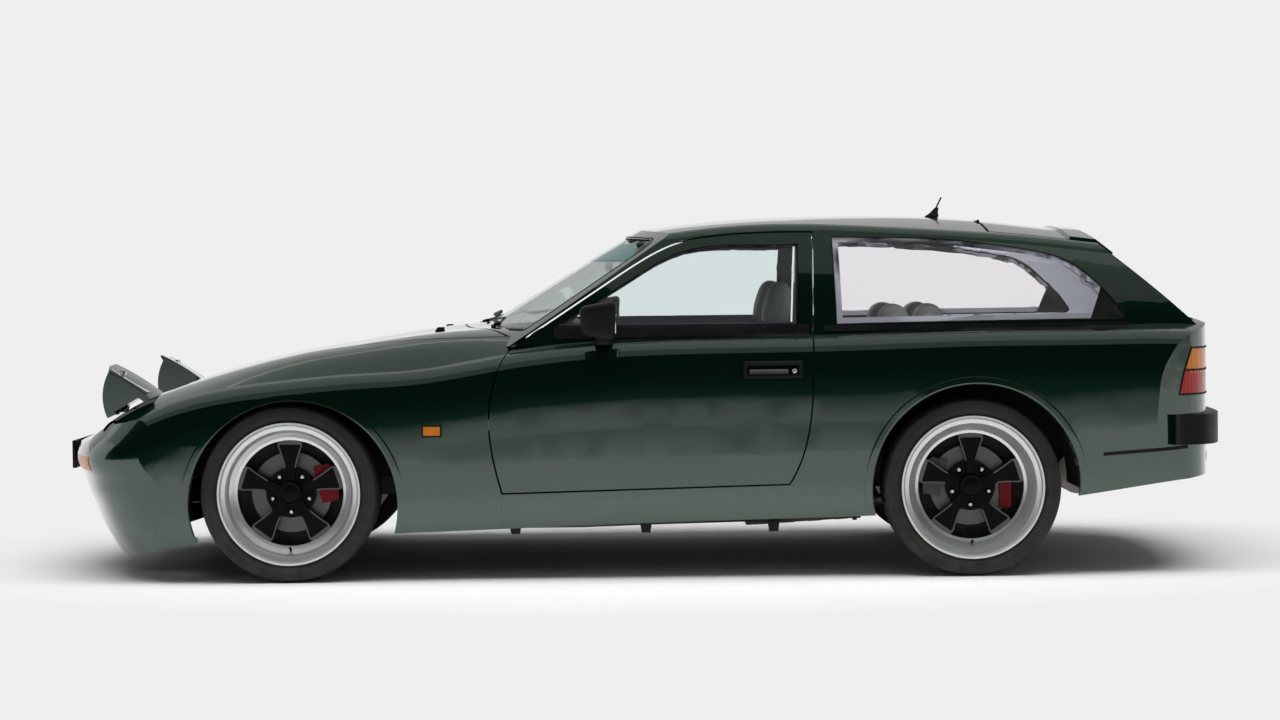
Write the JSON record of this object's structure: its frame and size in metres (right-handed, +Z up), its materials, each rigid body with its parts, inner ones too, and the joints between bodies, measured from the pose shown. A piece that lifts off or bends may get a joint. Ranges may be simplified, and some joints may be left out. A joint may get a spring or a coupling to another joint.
{
  "type": "sports coupe",
  "caption": "Low two-door sports coupe with a glazed lifting tailgate, pop-up lamps, opening doors and bonnet, and steered front wheels.",
  "frame": {"origin": "on the ground under the middle of the car's length and width", "axes": "+X to the tail, +Y to the car's right-hand side, +Z up"},
  "size_m": [4.2, 1.972, 1.3463],
  "materials": {
    "paint": "dark green metallic with clear coat",
    "underbody": "matt sealed steel",
    "tyre": "matt",
    "alloy": "polished lip, black spokes",
    "glass": "clear, faint green tint",
    "lamp_glass": "clear",
    "amber": "gloss",
    "red_lens": "gloss",
    "seat": "soft",
    "cabin_trim": "matt grain",
    "black_trim": "satin",
    "running_gear": "as cast",
    "exhaust": "dull"
  },
  "bodies": {
    "car": {"antenna": "black_trim", "bumper_pads": "black_trim", "chin_spoiler": "black_trim", "dashboard": "cabin_trim", "engine_and_transaxle": "running_gear", "exhaust_system": "exhaust", "floor_pan": "underbody", "front_bumper": "paint", "front_seats": "seat", "front_suspension": "running_gear", "front_wing_left": "paint", "front_wing_right": "paint", "indicator_lamps": "amber", "rear_bumper": "paint", "rear_seat": "seat", "rear_side_windows": "glass", "rear_suspension": "running_gear", "rear_valance": "paint", "roof_panel": "paint", "scuttle_panel": "paint", "side_panel_left": "paint", "side_panel_right": "paint", "tail_lamps": "red_lens", "tail_panel": "paint", "windscreen": "glass", "wiper_arms": "black_trim"},
    "door_left": {"door_left": "paint", "door_glass_left": "glass", "door_mirror_left": "black_trim", "door_handle_left": "black_trim"},
    "headlamp_left": {"headlamp_pod_left": "paint", "headlamp_lens_left": "lamp_glass"},
    "knuckle_left": {"steering_knuckle_left": "running_gear"},
    "wheel_front_left": {"tyre_front_left": "tyre", "rim_front_left": "alloy"},
    "wheel_rear_left": {"tyre_rear_left": "tyre", "rim_rear_left": "alloy"},
    "door_right": {"door_right": "paint", "door_glass_right": "glass", "door_mirror_right": "black_trim", "door_handle_right": "black_trim"},
    "headlamp_right": {"headlamp_pod_right": "paint", "headlamp_lens_right": "lamp_glass"},
    "knuckle_right": {"steering_knuckle_right": "running_gear"},
    "wheel_front_right": {"tyre_front_right": "tyre", "rim_front_right": "alloy"},
    "wheel_rear_right": {"tyre_rear_right": "tyre", "rim_rear_right": "alloy"},
    "bonnet": {"bonnet": "paint"},
    "tailgate": {"tailgate": "paint", "tailgate_glass": "glass", "tailgate_spoiler": "black_trim"},
    "steering": {"steering_wheel": "cabin_trim"}
  },
  "joints": [
    {"name": "door_left_swing", "type": "hinge", "parent": "car", "child": "door_left", "pos_m": [-0.528, -0.835, 0.547], "axis": [0, 0, -1], "range_deg": [0, 65]},
    {"name": "door_right_swing", "type": "hinge", "parent": "car", "child": "door_right", "pos_m": [-0.528, 0.835, 0.547], "axis": [0, 0, 1], "range_deg": [0, 65]},
    {"name": "bonnet_lift", "type": "hinge", "parent": "car", "child": "bonnet", "pos_m": [-0.4709, 0, 0.85], "axis": [0, 1, 0], "range_deg": [0, 60]},
    {"name": "tailgate_lift", "type": "hinge", "parent": "car", "child": "tailgate", "pos_m": [1.262, 0, 1.252], "axis": [0, -1, 0], "range_deg": [0, 70]},
    {"name": "headlamp_left_close", "type": "hinge", "parent": "car", "child": "headlamp_left", "pos_m": [-1.722, -0.589, 0.653], "axis": [0, -1, 0], "range_deg": [0, 60]},
    {"name": "headlamp_right_close", "type": "hinge", "parent": "car", "child": "headlamp_right", "pos_m": [-1.722, 0.589, 0.653], "axis": [0, -1, 0], "range_deg": [0, 60]},
    {"name": "steer_left", "type": "hinge", "parent": "car", "child": "knuckle_left", "pos_m": [-1.232, -0.65, 0.2], "axis": [0, 0.2085, 0.978], "range_deg": [-35, 35]},
    {"name": "steer_right", "type": "hinge", "parent": "car", "child": "knuckle_right", "pos_m": [-1.232, 0.65, 0.2], "axis": [0, -0.2085, 0.978], "range_deg": [-35, 35]},
    {"name": "steering_turn", "type": "hinge", "parent": "car", "child": "steering", "pos_m": [-0.15, -0.37, 0.735], "axis": [0.9063, 0, 0.4226], "range_deg": [-560, 560]},
    {"name": "wheel_front_left_spin", "type": "hinge", "parent": "knuckle_left", "child": "wheel_front_left", "pos_m": [-1.232, -0.738, 0.312], "axis": [0, 1, 0], "continuous": true},
    {"name": "wheel_front_right_spin", "type": "hinge", "parent": "knuckle_right", "child": "wheel_front_right", "pos_m": [-1.232, 0.738, 0.312], "axis": [0, 1, 0], "continuous": true},
    {"name": "wheel_rear_left_spin", "type": "hinge", "parent": "car", "child": "wheel_rear_left", "pos_m": [1.168, -0.726, 0.312], "axis": [0, 1, 0], "continuous": true},
    {"name": "wheel_rear_right_spin", "type": "hinge", "parent": "car", "child": "wheel_rear_right", "pos_m": [1.168, 0.726, 0.312], "axis": [0, 1, 0], "continuous": true}
  ],
  "couplings": [
    {"joint": "headlamp_right_close", "follows": "headlamp_left_close", "ratio": 1},
    {"joint": "steer_left", "follows": "steering_turn", "ratio": 0.0625},
    {"joint": "steer_right", "follows": "steering_turn", "ratio": 0.0625}
  ]
}
